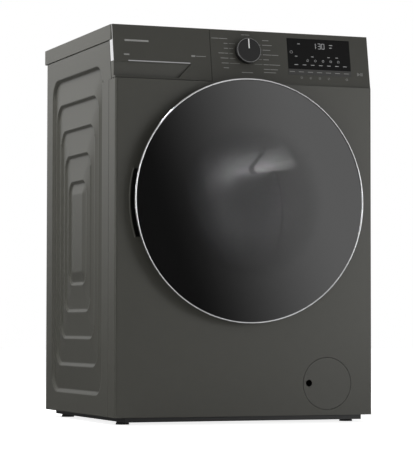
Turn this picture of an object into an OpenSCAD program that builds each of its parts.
// Front-loading washing machine.
// Millimetres. +X to the user's right, +Y to the back, +Z up, the floor at z = 0.
// The origin is the middle of the whole machine's footprint, so the front faces -Y.

/* [Cabinet] */
// Width across the painted side panels
cab_w = 597; // [540:1:660]
// Height from the floor to the top of the worktop
cab_h = 855; // [820:1:900]
// Depth from the front panel to the back of the side panels
cab_d = 515; // [470:1:600]
// Thickness of the folded sheet steel
sheet_t = 1.5; // [0.8:0.1:2.5]
// How far the front panel wraps round each side
wrap_d = 45; // [20:1:70]
// Height of the painted panels' lower edge above the floor
skirt_z = 16; // [10:1:40]

/* [Worktop] */
// Thickness of the worktop
top_t = 32.6; // [20:0.2:45]
// How far the worktop hangs over the back
top_over = 17; // [5:1:30]
// How far the worktop stands out past each side
top_side = 1.5; // [0:0.5:5]

/* [Console] */
// Height of the console, from its seam with the front panel to the top
console_h = 117; // [100:1:140]
// Set-back of the console face at its lower edge
face_y0 = 5; // [2:0.5:12]
// Set-back of the console face at the top
face_y1 = 25; // [10:0.5:45]
// Wall of the console moulding
face_t = 3; // [2:0.5:5]

/* [Drawer] */
// Width of the detergent drawer's front
drawer_w = 221; // [180:1:260]
// Depth of the tray behind the front
tray_d = 240; // [180:1:300]
// Travel of the drawer
drawer_travel = 230; // [150:1:280]

/* [Knob and display] */
// Radius of the programme knob
knob_r = 27.5; // [20:0.5:35]
// How far the knob stands out of the console
knob_h = 17; // [10:0.5:25]
// Sideways place of the knob
knob_x = 7; // [-20:1:40]
// How far the knob's axis lies below the top
knob_drop = 48; // [40:1:70]
// Width of the display glass
disp_w = 150; // [100:1:180]
// Sideways place of the display's middle
disp_x = 179; // [150:1:190]

/* [Door] */
// Radius of the chrome ring's centre line
ring_r = 262.7; // [220:0.1:285]
// Height of the door's centre
door_z = 479.6; // [440:0.1:500]
// How far the ring's centre line stands out of the front panel
ring_out = 29.6; // [22:0.5:40]
// Radius of the chrome ring's section
ring_t = 2; // [1.5:0.1:4]
// How deep the glass bowl reaches into the machine
bowl_d = 98; // [60:1:120]

/* [Tub and drum] */
// Outside radius of the tub
tub_r = 268; // [250:1:280]
// Wall of the plastic tub
tub_t = 5; // [3:0.5:8]
// Radius of the drum
drum_r = 245; // [225:1:250]
// Depth of the drum
drum_d = 318; // [250:1:340]
// Radius of the drum's shaft
shaft_r = 15; // [10:0.5:20]
// Radius of the belt pulley
pulley_r = 140; // [110:1:160]
// Radius of the motor's pulley
motor_pulley_r = 11; // [8:0.5:16]

/* [Service hatch] */
// Radius of the round filter cover
hatch_r = 56.4; // [45:0.2:65]
// Sideways place of the filter cover
hatch_x = 190.8; // [150:0.2:210]
// Height of the filter cover's centre
hatch_z = 85; // [78:0.5:110]

/* [Running fits] */
// Radial clearance of a shaft in its hole
run_gap = 0.05; // [0.02:0.01:0.1]
// Gap between panels that move apart
seam_gap = 1; // [0.5:0.1:2]

/* [Hidden] */
$fn = 96;
e = 0.5;
ring_front = ring_out + ring_t;
all_d = ring_front + cab_d + top_over;
yf = -all_d / 2 + ring_front;
yb = yf + cab_d;
half_w = cab_w / 2;
wall_z = cab_h - top_t;
seam_z = cab_h - console_h;
knob_z = cab_h - knob_drop;
tilt = atan((face_y1 - face_y0) / (cab_h - seam_z));
drawer_x0 = -half_w;
drawer_x1 = drawer_x0 + drawer_w;
hinge_x = ring_r - 5.2;
hinge_out = 18;
bowl_r = ring_r - 99.7;
mouth_r = ring_r - 62.7;
hook_x = -bowl_r - 55;
hook_out = 9;
heater_r = tub_r - 15;
spring_x = tub_r - 32;
spring_z = door_z + 210.8;
drum_front = 70;
tub_front_d = 55;
tub_split = tub_front_d + 180;
drum_end = drum_front + drum_d;
tub_end = drum_end + 24;
hub_end = tub_end + 36;
pulley_d = hub_end + 10;
motor_z = door_z - tub_r - 62;
plug_r = 26;
disp_top = seam_z + 105.6;
disp_low = seam_z + 37;
key_low = seam_z + 24;
board_z = wall_z - 24;
inlet_x = -190;
inlet_z = wall_z - 47.4;
inlet_r = 13.2;
drain_x = 205;
drain_z = wall_z - 52.4;
gland_x = 120;
gland_z = wall_z - 32.4;
bolt_x = 420;
bolt_z = door_z - 9.6;
bolt_dz = 380;
bolt_hole_r = 7;
groove_h = 6;
groove_w = 14;
land_h = 1.5;

body = [0.27, 0.27, 0.235];
steel = [0.72, 0.72, 0.72];
black = [0.06, 0.06, 0.06];
chrome = [0.8, 0.8, 0.8];

// Set-back of the console face at a height
function face_y(z) = face_y0 + (z - seam_z) * (face_y1 - face_y0) / (cab_h - seam_z);

// A child drawn along +Z points out of the front, on the door's axis
module out_of_door() translate([0, yf, door_z]) rotate([90, 0, 0]) children();
// A child drawn along +Z points into the machine, on the drum's axis
module into_drum() translate([0, yf, door_z]) rotate([-90, 0, 0]) children();
// A child drawn along +Z points out of the console face at (x, z)
module on_face(x, z) translate([x, yf + face_y(z), z]) rotate([90 - tilt, 0, 0]) children();
// A box by its two corners, with depths counted back from the front panel
module slab(x, d, z) translate([x[0], yf + d[0], z[0]]) cube([x[1] - x[0], d[1] - d[0], z[1] - z[0]]);
// A ring about +Z
module tube(r, ri, h) difference() {
  cylinder(r = r, h = h);
  translate([0, 0, -1]) cylinder(r = ri, h = h + 2);
}
// A rounded rectangle by its two corners
module round_rect(a, b, r) {
  translate([a[0] + r, a[1]]) square([b[0] - a[0] - 2 * r, b[1] - a[1]]);
  translate([a[0], a[1] + r]) square([b[0] - a[0], b[1] - a[1] - 2 * r]);
  for (x = [a[0] + r, b[0] - r], y = [a[1] + r, b[1] - r]) translate([x, y]) circle(r);
}
// A side profile in (depth, z) drawn out across the machine from x0 to x1
module across(x0, x1) translate([x0, yf, 0]) rotate([90, 0, 90]) linear_extrude(x1 - x0) children();
// A plan shape in (x, depth) drawn up from z0 to z1
module upright(z0, z1) translate([0, yf, z0]) linear_extrude(z1 - z0) children();

// ---- cabinet ----
// One of the nested pressed outlines of a side panel, drawn in (depth, z)
module press_outline(k, inset) {
  near = [93 + 30 * k + inset, skirt_z + 45 + 60 * k + inset];
  far = [cab_d - 50 - 30 * k - inset, seam_z + 36 - 60 * k - inset];
  round_rect(near, far, max(10, 35 - inset));
}
// Sheet at depth h between two outlines, and the wall that steps down to it
module press_band(h) translate([h, yf, 0]) rotate([90, 0, 90]) linear_extrude(sheet_t) children();
module press_wall(h0, h1, k, inset) {
  translate([h0, yf, 0]) rotate([90, 0, 90]) linear_extrude(h1 - h0 + sheet_t) difference() {
    press_outline(k, inset);
    press_outline(k, inset + sheet_t);
  }
}
module side_sheet() {
  press_band(0) difference() {
    union() {
      translate([wrap_d + seam_gap, skirt_z]) square([cab_d - wrap_d - seam_gap, wall_z - skirt_z - e]);
      polygon([
        [face_y(seam_z) + 23, seam_z + seam_gap], [face_y(wall_z) + 23, wall_z - e],
        [100, wall_z - e], [100, seam_z + seam_gap]
      ]);
    }
    press_outline(0, 0);
  }
  for (k = [0:4]) {
    press_wall(k == 0 ? 0 : land_h, groove_h, k, 0);
    press_wall(land_h, groove_h, k, groove_w);
    press_band(groove_h) difference() {
      press_outline(k, 0);
      press_outline(k, groove_w);
    }
    press_band(land_h) difference() {
      press_outline(k, groove_w);
      if (k < 4) press_outline(k + 1, 0);
    }
  }
  slab([0, 14], [cab_d - sheet_t, cab_d], [skirt_z, wall_z - e]);
  slab([0, 14], [wrap_d + 6, cab_d], [skirt_z, skirt_z + sheet_t]);
}
module side_panel_left() color(body) translate([-half_w, 0, 0]) side_sheet();
module side_panel_right() color(body) translate([half_w, 0, 0]) mirror([1, 0, 0]) side_sheet();

// Crescent of the finger grip, drawn on the door's axis
module grip_shape(grow) intersection() {
  difference() {
    circle(ring_r + 2.5 + grow);
    circle(ring_r - 24 - grow);
  }
  translate([-ring_r - 20, -80 - grow]) square([60, 146 + 2 * grow]);
}
// The painted front with its side wraps
module front_panel() color(body) difference() {
  upright(skirt_z, seam_z - e) difference() {
    round_rect([-half_w, 0], [half_w, wrap_d + 20], 5);
    round_rect([-half_w + sheet_t, sheet_t], [half_w - sheet_t, wrap_d + 30], 3.5);
    translate([-half_w - 1, wrap_d]) square([cab_w + 2, 40]);
  }
  out_of_door() translate([0, 0, -10]) cylinder(r = mouth_r, h = 20);
  out_of_door() translate([0, 0, -10]) linear_extrude(20) grip_shape(0);
  slab([hook_x - 14, hook_x + 10], [-5, 5], [door_z - 14, door_z + 14]);
  translate([hatch_x, yf - 5, hatch_z]) rotate([-90, 0, 0]) cylinder(r = hatch_r + seam_gap, h = 10);
}
// Black cup behind the grip opening
module grip_recess() color(black) out_of_door() difference() {
  translate([0, 0, -22]) linear_extrude(22 - sheet_t - 0.2) grip_shape(2);
  translate([0, 0, -20]) linear_extrude(30) grip_shape(0);
}
module rear_panel() color(steel) difference() {
  slab([-half_w + 16, half_w - 16], [cab_d - 3, cab_d - 1.8], [skirt_z, wall_z - e]);
  translate([0, yb - 5, door_z - 40]) rotate([-90, 0, 0]) cylinder(r = 170, h = 10);
  for (x = [-1, 1], z = [-1, 1]) translate([x * bolt_x / 2, yb - 5, bolt_z + z * bolt_dz / 2])
    rotate([-90, 0, 0]) cylinder(r = bolt_hole_r, h = 10);
  translate([inlet_x, yb - 5, inlet_z]) rotate([-90, 0, 0]) cylinder(r = inlet_r + 1, h = 10);
  translate([drain_x, yb - 5, drain_z]) rotate([-90, 0, 0]) cylinder(r = 13, h = 10);
  translate([gland_x, yb - 5, gland_z]) rotate([-90, 0, 0]) cylinder(r = 9, h = 10);
}
module rear_cover() color(steel) translate([0, yb - 1.8, door_z - 40]) rotate([-90, 0, 0]) {
  cylinder(r = 186, h = 1.2);
  tube(150, 146, 2.2);
  tube(90, 86, 2.2);
}
module base_tray() color(black) difference() {
  slab([-half_w + 24, half_w - 24], [6, cab_d - 6], [6, 34]);
  slab([-half_w + 27, half_w - 27], [9, cab_d - 9], [10, 40]);
  foot_places() translate([0, 0, -10]) cylinder(r = 5.5, h = 60);
  for (x = [-180, -60, 60, 180]) slab([x - 40, x + 40], [160, 380], [0, 20]);
}
module foot_places() for (x = [-1, 1], y = [yf + 58, yb - 58]) translate([x * (half_w - 37), y, 0])
  children();
module feet() color(black) foot_places() {
  cylinder(r1 = 15, r2 = 13, h = 5.5);
  cylinder(r = 5, h = 42);
}
module foot_nuts() color(steel) foot_places() translate([0, 0, 10.3]) difference() {
  cylinder(r = 9, h = 6);
  translate([0, 0, -1]) cylinder(r = 5.2, h = 8);
}
module top_rails() color(steel) for (d = [318, 484]) difference() {
  slab([-half_w + 16, half_w - 16], [d, d + 24], [wall_z - 16, wall_z - e]);
  slab([-half_w + 10, half_w - 10], [d + 1.5, d + 22.5], [wall_z - 20, wall_z - 2]);
}
top_front = face_y1 + face_t + 0.3;
top_back = cab_d + top_over;
module worktop() color(body) difference() {
  upright(wall_z, cab_h) round_rect([-half_w - top_side, top_front], [half_w + top_side, top_back], 6);
  slab([-half_w + 14, half_w - 14], [top_front + 10, top_back - 22], [wall_z - 1, cab_h - 12]);
}

// ---- console ----
module face_profile(back, z0, z1) polygon([
  [face_y(z0), z0], [face_y(z1), z1], [face_y(z1) + back, z1], [face_y(z0) + back, z0]
]);
module console_fascia() color(body) difference() {
  union() {
    across(drawer_x1 + seam_gap, half_w) face_profile(face_t, seam_z, cab_h);
    across(half_w - 3, half_w) face_profile(22, seam_z, wall_z - e);
    across(drawer_x1 + seam_gap, drawer_x1 + seam_gap + 3) face_profile(30, seam_z, wall_z - e);
    across(drawer_x1 + seam_gap, half_w - 2.5) face_profile(34, seam_z, seam_z + 2);
  }
  face_plate(key_low, disp_top, 0.2, -1.8, 3);
  on_face(knob_x, knob_z) translate([0, 0, -20]) cylinder(r = 8, h = 40);
}
// A plate as wide as the display, lying in the console face from height z0 to z1
module face_plate(z0, z1, grow, back, out) on_face(disp_x, (z0 + z1) / 2)
  translate([-disp_w / 2 - grow, (z0 - z1) / 2 / cos(tilt) - grow, back])
    cube([disp_w + 2 * grow, (z1 - z0) / cos(tilt) + 2 * grow, out - back]);
module display_glass() color([0.02, 0.02, 0.02]) face_plate(disp_low, disp_top, 0, -1.6, 0.4);
module key_strip() color([0.2, 0.2, 0.19]) face_plate(key_low, disp_low - 0.3, 0, -1.6, 0.2);
module control_board() color([0.1, 0.3, 0.15]) difference() {
  union() {
    on_face((knob_x + disp_x) / 2 + 10, board_z) translate([-130, -38, -16]) cube([260, 58, 1.6]);
    on_face(disp_x, board_z) translate([-60, -20, -14.5]) cube([120, 36, 8]);
    on_face(knob_x, knob_z) translate([-9, -9, -14.5]) cube([18, 18, 8]);
  }
  on_face(knob_x, knob_z) translate([0, 0, -13]) cylinder(r = 3 + run_gap, h = 20);
}
module knob() color(black) on_face(knob_x, knob_z) {
  translate([0, 0, 0.6]) cylinder(r1 = knob_r - 0.5, r2 = knob_r - 1.5, h = knob_h - 1.6);
  translate([0, 0, -12.5]) cylinder(r = 3, h = 14);
  translate([-0.8, 12, knob_h - 1.2]) cube([1.6, knob_r - 15, 0.8]);
}
module knob_ring() color(chrome) on_face(knob_x, knob_z) translate([0, 0, knob_h - 3.4])
  difference() {
    cylinder(r1 = knob_r + 0.3, r2 = knob_r - 0.6, h = 3);
    translate([0, 0, -1]) cylinder(r = knob_r - 1.15, h = 6);
  }

// ---- detergent drawer ----
scoop_x1 = drawer_x1 - 46;
module drawer_front() color(body) difference() {
  union() {
    across(drawer_x0, drawer_x1) face_profile(3, seam_z + 1, cab_h);
    across(drawer_x0, drawer_x0 + 3) face_profile(22, seam_z + 1, wall_z - e);
    across(drawer_x0, drawer_x1) face_profile(12, disp_low - 1, disp_low + 2);
    across(scoop_x1 - 32, scoop_x1 + 5) face_profile(11, seam_z + 1, disp_low);
    slab([drawer_x0, scoop_x1 + 5], [14.2, 16.4], [seam_z + 1, disp_low + 1]);
    for (x = [tray_x[0] + 6, tray_x[1] - 10]) across(x, x + 4) polygon([
      [face_y(disp_low), disp_low], [face_y(wall_z - 20), wall_z - 20], [tray_d0, wall_z - 20],
      [tray_d0, disp_low]
    ]);
  }
  translate([0, yf - 10, 0]) rotate([90, 0, 0]) translate([0, 0, -24]) linear_extrude(30) polygon([
    [drawer_x0 - 1, seam_z + 5], [scoop_x1 - 30, seam_z + 5], [scoop_x1, disp_low - 1],
    [drawer_x0 - 1, disp_low - 1]
  ]);
}
line_h = 2.4;
module drawer_trim() color(chrome) {
  across(drawer_x0 + 32, scoop_x1 - 2) polygon([
    [face_y(disp_low) - 0.5, disp_low], [face_y(disp_low + line_h) - 0.5, disp_low + line_h],
    [face_y(disp_low + line_h) - 0.02, disp_low + line_h], [face_y(disp_low) - 0.02, disp_low]
  ]);
  across(drawer_x0 - 0.6, drawer_x0 - 0.02) translate([1.2, 0]) {
    face_profile(19, disp_low, wall_z - 1);
    face_profile(1.6, disp_low, cab_h - 1);
  }
}
tray_x = [drawer_x0 + 20, min(drawer_x1 - 12, -86)];
comp_w = (tray_x[1] - tray_x[0] - 2) / 3;
tray_d0 = face_y(seam_z) + 22;
module drawer_tray() color([0.85, 0.86, 0.87]) difference() {
  slab(tray_x, [tray_d0, tray_d0 + tray_d], [seam_z + 10, wall_z - 12]);
  for (i = [0:2]) slab([tray_x[0] + 2 + i * comp_w, tray_x[0] + (i + 1) * comp_w],
    [tray_d0 + 2, tray_d0 + tray_d - 2], [seam_z + 12, wall_z]);
}
module softener_cap() color([0.2, 0.35, 0.6])
  slab([tray_x[0] + comp_w + 2.6, tray_x[0] + 2 * comp_w - 0.6],
    [tray_d0 + 120, tray_d0 + tray_d - 6], [wall_z - 22, wall_z - 14]);
module dispenser_housing() color([0.75, 0.75, 0.76]) difference() {
  slab([tray_x[0] - 4, tray_x[1] + 4], [tray_d0 - 2, tray_d0 + tray_d + 20], [seam_z + 6, wall_z - 2]);
  slab([tray_x[0] - 1, tray_x[1] + 1], [tray_d0 - 10, tray_d0 + tray_d + 16], [seam_z + 9, wall_z - 5]);
}

// ---- door ----
module door_ring() color(chrome) out_of_door() rotate_extrude() translate([ring_r, ring_out]) circle(ring_t);
module door_glass() color([0.03, 0.03, 0.03]) out_of_door() translate([0, 0, ring_out - 4.5])
  cylinder(r = ring_r - ring_t, h = 4.5);
// Room for the hinge, drawn on the door's axis
module hinge_notch() translate([hinge_x - 24, -62, -2]) cube([60, 124, ring_out - 3.5]);
module door_frame() color(black) out_of_door() difference() {
  rotate_extrude() polygon([
    [ring_r - 1, ring_out - 4.8], [ring_r - 15, 3], [ring_r - 58, 3], [ring_r - 58, 6],
    [ring_r - 17.5, 6], [ring_r - 6, ring_out - 4.8]
  ]);
  hinge_notch();
  translate([hook_x - 10, -8, 0]) cube([20, 16, 10]);
}
module door_inner_frame() color([0.12, 0.12, 0.12]) out_of_door() difference() {
  union() {
    rotate_extrude() polygon([
      [bowl_r + 4, 6.3], [bowl_r + 60, 6.3], [bowl_r + 60, 10], [bowl_r + 44, 12],
      [bowl_r + 30, 20], [bowl_r + 20, 20], [bowl_r + 20, 12], [bowl_r + 4, 12]
    ]);
    translate([hook_x - 5, -17, 6.3]) cube([10, 34, 7]);
  }
  translate([hook_x - 8, -6, 0]) cube([16, 12, 30]);
  translate([hook_x, -14.3, hook_out]) rotate([-90, 0, 0]) cylinder(r = 2.5 + run_gap, h = 28.6);
}
module door_bowl() color([0.6, 0.65, 0.65]) out_of_door() rotate_extrude() polygon([
  [bowl_r + 34, 6], [bowl_r + 34, 1], [bowl_r + 2, 1], [bowl_r - 4, -14], [bowl_r - 22, -60],
  [bowl_r - 38, -bowl_d + 8],
  [bowl_r - 50, -bowl_d], [0, -bowl_d - 4], [0, -bowl_d + 2], [bowl_r - 52, -bowl_d + 6],
  [bowl_r - 42, -bowl_d + 12], [bowl_r - 27, -58], [bowl_r - 9, -12], [bowl_r - 3, 6]
]);
module hinge_arm() color(steel) out_of_door() {
  for (z = [30, -50]) translate([hinge_x, z, hinge_out]) rotate([-90, 0, 0]) cylinder(r = 5.5, h = 20);
  for (z = [30, -50]) translate([hinge_x - 50, z, 12.6]) cube([50, 20, 4]);
  translate([hinge_x - 50, -50, 12.6]) cube([14, 100, 4]);
  translate([hinge_x, -52, hinge_out]) rotate([-90, 0, 0]) cylinder(r = 4, h = 104);
}
module hinge_bracket() color(steel) out_of_door() difference() {
  union() {
    translate([hinge_x, -28, hinge_out]) rotate([-90, 0, 0]) cylinder(r = 5.5, h = 56);
    translate([0, 28, 0]) rotate([90, 0, 0]) linear_extrude(56) polygon([
      [hinge_x - 5, hinge_out], [hinge_x - 20, 2], [hinge_x - 14, 0.3], [hinge_x + 1, hinge_out - 3]
    ]);
    translate([hinge_x - 22, -28, 0.2]) cube([22, 56, 2]);
  }
  translate([hinge_x, -80, hinge_out]) rotate([-90, 0, 0]) cylinder(r = 4 + run_gap, h = 160);
}
module door_hook() color(steel) out_of_door() {
  translate([hook_x, -5, -14]) cube([3, 10, hook_out + 14]);
  translate([hook_x - 6, -5, -17]) cube([9, 10, 3.5]);
  translate([hook_x, -14, hook_out]) rotate([-90, 0, 0]) cylinder(r = 2.5, h = 28);
}
module door_lock() color(black) out_of_door() difference() {
  translate([hook_x - 15, -34, -40]) cube([26, 68, 38]);
  translate([hook_x - 12, -12, -32]) cube([20, 24, 40]);
}

// ---- tub ----
module tub_front() color([0.7, 0.7, 0.7]) into_drum() difference() {
  union() {
    translate([0, 0, tub_front_d]) tube(tub_r, tub_r - tub_t, 180 - 0.2);
    translate([0, 0, tub_front_d]) tube(tub_r, mouth_r - 14, tub_t);
    translate([0, 0, tub_front_d + 168]) tube(tub_r + 8, tub_r - 1, 11.8);
  }
  for (x = [-12, 12]) translate([x, heater_r, tub_front_d - 5]) cylinder(r = 3.7, h = 20);
}
module tub_rear() color([0.7, 0.7, 0.7]) into_drum() difference() {
  union() {
    for (s = [-1, 1]) translate([s * (spring_x - 8.5) - 22.5, door_z - spring_z + 0.4, 316])
      cube([45, 43, 28]);
    translate([0, 0, tub_split]) tube(tub_r, tub_r - tub_t, tub_end - tub_split);
    translate([0, 0, tub_split]) tube(tub_r + 8, tub_r - 1, 12);
    translate([0, 0, tub_end - 6]) cylinder(r = tub_r - 1, h = 6);
    translate([0, 0, tub_end - 14]) cylinder(r = 44, h = hub_end - tub_end + 14);
    for (a = [0:30:330]) rotate([0, 0, a]) translate([42, -3, tub_end - 1]) cube([tub_r - 50, 6, 16]);
  }
  translate([0, 0, tub_end - 30]) cylinder(r = 26, h = 100);
}
module bearings() color(steel) into_drum() for (d = [tub_end - 2, hub_end - 16]) difference() {
  translate([0, 0, d]) cylinder(r = 26, h = 14);
  translate([0, 0, d - 1]) cylinder(r = shaft_r + run_gap, h = 16);
}
module gasket() color([0.35, 0.35, 0.36]) out_of_door() rotate_extrude() polygon([
  [mouth_r - 0.5, 1.6], [mouth_r - 0.5, -2], [mouth_r - 4, -2], [mouth_r - 4, -8], [mouth_r - 10, -12],
  [mouth_r - 10, -20], [bowl_r + 2, -22], [bowl_r + 2, -27], [mouth_r - 12, -30], [mouth_r - 6, -36],
  [mouth_r - 6, -44], [mouth_r - 16, -48], [mouth_r - 16, -tub_front_d - 7],
  [mouth_r - 14.2, -tub_front_d - 7],
  [mouth_r - 14.2, -tub_front_d + 0.2], [mouth_r - 10, -tub_front_d + 0.2], [mouth_r - 2, -46],
  [mouth_r - 2, -34],
  [mouth_r - 6, -28], [mouth_r - 6, -12], [mouth_r + 6, -7], [mouth_r + 6, -sheet_t - 0.1],
  [mouth_r - 0.2, -sheet_t - 0.1], [mouth_r - 0.2, 0.1], [mouth_r + 4, 0.1], [mouth_r + 4, 1.6]
]);
module front_weight() color([0.6, 0.6, 0.58]) into_drum() difference() {
  translate([0, 0, 25]) tube(tub_r - 21, mouth_r + 12, 20);
  translate([-tub_r, -72, 0]) cube([tub_r, 158, 60]);
}
module top_weight() color([0.6, 0.6, 0.58]) slab([max(-60, tray_x[1] + 14), 180], [120, 305],
  [door_z + tub_r + 10.5, wall_z - 14]);
module tub_springs() color(steel) for (x = [-1, 1]) translate([x * spring_x, yf + 330, spring_z]) {
  for (i = [0:10]) translate([0, 0, 15.6 + i * 7])
    rotate_extrude($fn = 32) translate([11, 0]) circle(3.8, $fn = 24);
  translate([0, 0, 86.6]) cylinder(r = 9, h = wall_z - spring_z - 89.6);
  cylinder(r = 9, h = 16);
}
// A strut in the X-Z plane from its foot at the base to its head at the tub
strut_foot = [200, 46];
strut_a = 36.4;
strut_head = [(tub_r + 9.9) * sin(strut_a), door_z - (tub_r + 9.9) * cos(strut_a)];
strut_len = norm(strut_head - strut_foot);
module on_strut(s) translate([s * strut_foot[0], yf + 230, strut_foot[1]])
  rotate([0, s * atan2(strut_head[0] - strut_foot[0], strut_head[1] - strut_foot[1]), 0]) children();
module damper_tubes() color([0.3, 0.3, 0.3]) for (s = [-1, 1]) on_strut(s) difference() {
  translate([0, 0, -30]) cylinder(r = 15, h = strut_len * 0.66 + 30);
  cylinder(r = 12, h = strut_len);
}
module damper_rods() color(steel) for (s = [-1, 1]) on_strut(s) {
  translate([0, 0, 8]) cylinder(r = 5, h = strut_len - 9);
  translate([0, 0, 40]) cylinder(r = 11.5, h = 30);
}
module heater() color(steel) {
  slab([-24, 24], [tub_front_d - 8, tub_front_d - 0.2], [door_z - heater_r - 12, door_z - heater_r + 12]);
  for (x = [-12, 12]) translate([x, yf + tub_front_d - 12, door_z - heater_r])
    rotate([-90, 0, 0]) cylinder(r = 3.5, h = 262);
  translate([-12, yf + tub_front_d + 246, door_z - heater_r - 3.5]) cube([24, 7, 7]);
}

// ---- drum ----
module drum_shell() color(steel) into_drum() difference() {
  translate([0, 0, drum_front]) tube(drum_r, drum_r - 1.5, drum_d);
  for (a = [0:20:340], k = [0:4]) rotate([0, 0, a + 10 * (k % 2)])
    translate([drum_r - 5, 0, drum_front + 44 + 56 * k]) rotate([0, 90, 0]) cylinder(r = 4, h = 10);
}
module drum_front_ring() color(steel) into_drum() translate([0, 0, drum_front - 2])
  rotate_extrude() polygon([
  [drum_r, 0], [drum_r, 1.9], [mouth_r - 14, 1.9], [mouth_r - 20, 8], [mouth_r - 22, 8], [mouth_r - 16, 0]
]);
module drum_back() color(steel) into_drum() {
  translate([0, 0, drum_end - 6]) cylinder(r = drum_r - 1.7, h = 2);
  translate([0, 0, drum_end - 10]) cylinder(r = 70, h = 4.2);
}
module lifters() color([0.75, 0.75, 0.76]) into_drum() for (a = [90, 210, 330]) rotate([0, 0, a])
  translate([0, 0, drum_front + 12]) linear_extrude(drum_d - 36) intersection() {
    translate([drum_r, 0]) polygon([[0, -32], [-9, -24], [-49, -9], [-53, 0], [-49, 9], [-9, 24], [0, 32]]);
    circle(drum_r - 1.6);
  }
module drum_spider() color([0.6, 0.6, 0.62]) into_drum() {
  translate([0, 0, drum_end - 3.8]) tube(38, shaft_r, 12);
  for (a = [90, 210, 330]) rotate([0, 0, a]) translate([30, -14, drum_end - 3.8])
    cube([drum_r - 34, 28, 10]);
}
module drum_shaft() color(steel) into_drum() translate([0, 0, drum_end - 3])
  cylinder(r = shaft_r, h = pulley_d + 20 - drum_end);
module drum_pulley() color([0.6, 0.6, 0.62]) into_drum() translate([0, 0, pulley_d]) difference() {
  cylinder(r = pulley_r, h = 14);
  translate([0, 0, -1]) cylinder(r = shaft_r, h = 20);
  for (a = [0:60:300]) rotate([0, 0, a]) translate([82, 0, -1]) cylinder(r = 34, h = 20);
}
module belt() color(black) into_drum() translate([0, 0, pulley_d + 1]) linear_extrude(12) difference() {
  hull() {
    circle(pulley_r + 3.5, $fn = 96);
    translate([0, door_z - motor_z]) circle(motor_pulley_r + 3.5, $fn = 48);
  }
  hull() {
    circle(pulley_r + 0.5, $fn = 96);
    translate([0, door_z - motor_z]) circle(motor_pulley_r + 0.5, $fn = 48);
  }
}
module motor_axis(d) translate([0, yf + d, motor_z]) rotate([-90, 0, 0]) children();
module motor() color([0.25, 0.25, 0.26]) motor_axis(pulley_d - 150) {
  difference() {
    cylinder(r = 58, h = 130);
    translate([0, 0, 12]) cylinder(r = 38, h = 106);
    translate([0, 0, -1]) cylinder(r = 8 + run_gap, h = 140);
  }
  for (s = [-1, 1]) translate([s * 46 - 16, -63, 20]) cube([32, 19, 90]);
}
module motor_rotor() color(steel) motor_axis(pulley_d - 150) {
  translate([0, 0, 4]) cylinder(r = 8, h = 164);
  translate([0, 0, 18]) cylinder(r = 37, h = 94);
  translate([0, 0, 150]) cylinder(r = motor_pulley_r, h = 14);
}

// ---- water ----
module inlet_valve() color([0.9, 0.9, 0.88]) {
  translate([inlet_x, yb - 20, inlet_z]) rotate([-90, 0, 0]) difference() {
    cylinder(r = inlet_r, h = 34);
    translate([0, 0, 6]) cylinder(r = 8, h = 40);
  }
  slab([inlet_x - 18, inlet_x + 18], [cab_d - 60, cab_d - 19], [inlet_z - 18, inlet_z + 18]);
  translate([inlet_x, yb - 40, inlet_z + 17]) cylinder(r = 13, h = 12);
}
module drain_outlet() color(black) translate([drain_x, yb - 26, drain_z]) rotate([-90, 0, 0]) difference() {
  union() {
    cylinder(r = 10.5, h = 38);
    translate([0, 0, 16]) cylinder(r = 12.8, h = 7);
  }
  translate([0, 0, -1]) cylinder(r = 8, h = 60);
}
module cord_gland() color(black) translate([gland_x, yb - 12, gland_z]) rotate([-90, 0, 0]) difference() {
  union() {
    cylinder(r = 8.8, h = 16);
    translate([0, 0, 10.3]) cylinder(r = 12, h = 5);
  }
  translate([0, 0, -1]) cylinder(r = 4, h = 30);
}
pump_d = 34;
module pump_axis() translate([hatch_x - 8, yf + pump_d, hatch_z]) rotate([-90, 0, 0]) children();
module drain_pump() color([0.8, 0.8, 0.8]) pump_axis() difference() {
  union() {
    cylinder(r = 34, h = 96);
    translate([0, 0, 96]) cylinder(r = 26, h = 50);
    rotate([0, 0, 60]) translate([0, 0, 60]) rotate([0, -90, 0]) cylinder(r = 16, h = 60);
  }
  translate([0, 0, -1]) cylinder(r = plug_r + 1, h = 62);
  translate([0, 0, 70]) cylinder(r = 24, h = 22);
  translate([0, 0, 60]) cylinder(r = 10, h = 20);
  translate([0, 0, 91]) cylinder(r = 3 + run_gap, h = 40);
  rotate([0, 0, 60]) translate([-26, 0, 60]) rotate([0, -90, 0]) cylinder(r = 12, h = 60);
}
module pump_impeller() color(black) pump_axis() {
  translate([0, 0, 74]) cylinder(r = 8, h = 14);
  for (a = [0:60:300]) rotate([0, 0, a]) translate([6, -1, 74]) cube([14, 2, 12]);
  translate([0, 0, 87]) cylinder(r = 3, h = 38);
}
module filter_plug() color([0.3, 0.3, 0.3]) pump_axis() {
  translate([0, 0, -0.6]) cylinder(r = plug_r, h = 11);
  translate([0, 0, -8]) cylinder(r = plug_r + 4, h = 7.6);
  translate([-24, -4, -22]) cube([48, 8, 15]);
  difference() {
    translate([0, 0, 10]) cylinder(r = 20, h = 44);
    translate([0, 0, 12]) cylinder(r = 17.5, h = 50);
    for (a = [0:45:135]) rotate([0, 0, a]) translate([-30, -4, 16]) cube([60, 8, 30]);
  }
}
pivot_x = hatch_x + hatch_r + seam_gap + 24;
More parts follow.
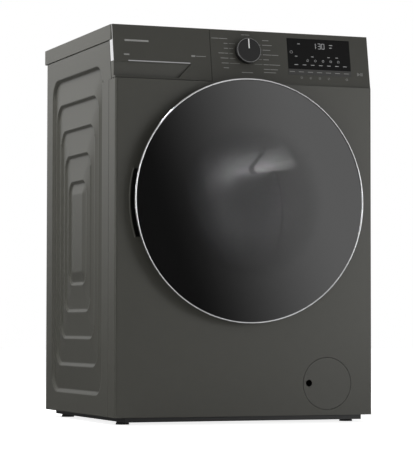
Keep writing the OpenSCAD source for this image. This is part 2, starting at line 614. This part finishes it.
module filter_cover() color(body) {
  translate([hatch_x, yf, hatch_z]) rotate([-90, 0, 0]) difference() {
    cylinder(r = hatch_r, h = 2.5);
    translate([13.4 - hatch_r, -1, -1]) cylinder(r = 7.5, h = 6);
  }
  for (s = [-1, 1]) translate([0, 0, hatch_z + s * 20 - 3]) difference() {
    union() {
      upright(0, 6) polygon([
        [pivot_x - 41, 2.4], [pivot_x - 35, 2.4], [pivot_x - 35, 33], [pivot_x - 3, 33], [pivot_x - 3, 6],
        [pivot_x + 3, 6], [pivot_x + 3, 38], [pivot_x - 41, 38]
      ]);
      translate([pivot_x, yf + 7, 0]) cylinder(r = 4.5, h = 6);
    }
    translate([pivot_x, yf + 7, -1]) cylinder(r = 2 + run_gap, h = 8);
  }
}
module hatch_pin() color(steel) {
  translate([pivot_x, yf + 7, hatch_z - 32]) cylinder(r = 2, h = 64);
  for (s = [-1, 1]) slab([pivot_x - 5, pivot_x + 8], [1.7, 12],
    [hatch_z + s * 32 - 3, hatch_z + s * 32 + 3]);
}
module cabinet_screws() color(steel) {
  for (x = [-1, 1], z = [40, cab_h / 2, cab_h - 55]) translate([x * (half_w - 26), yb - 1.7, z])
    rotate([-90, 0, 0]) cylinder(r = 4, h = 1.6);
  for (a = [30:60:330]) translate([178 * cos(a), yb - 0.5, door_z - 40 + 178 * sin(a)])
    rotate([-90, 0, 0]) cylinder(r = 4, h = 1.4);
}

side_panel_left();
side_panel_right();
front_panel();
grip_recess();
rear_panel();
rear_cover();
base_tray();
feet();
foot_nuts();
top_rails();
worktop();
console_fascia();
display_glass();
key_strip();
control_board();
knob();
knob_ring();
drawer_front();
drawer_trim();
drawer_tray();
softener_cap();
dispenser_housing();
door_ring();
door_glass();
door_frame();
door_inner_frame();
door_bowl();
hinge_arm();
hinge_bracket();
door_hook();
door_lock();
tub_front();
tub_rear();
bearings();
gasket();
front_weight();
top_weight();
tub_springs();
damper_tubes();
damper_rods();
heater();
drum_shell();
drum_front_ring();
drum_back();
lifters();
drum_spider();
drum_shaft();
drum_pulley();
belt();
motor();
motor_rotor();
inlet_valve();
drain_outlet();
cord_gland();
drain_pump();
pump_impeller();
filter_plug();
filter_cover();
hatch_pin();
cabinet_screws();
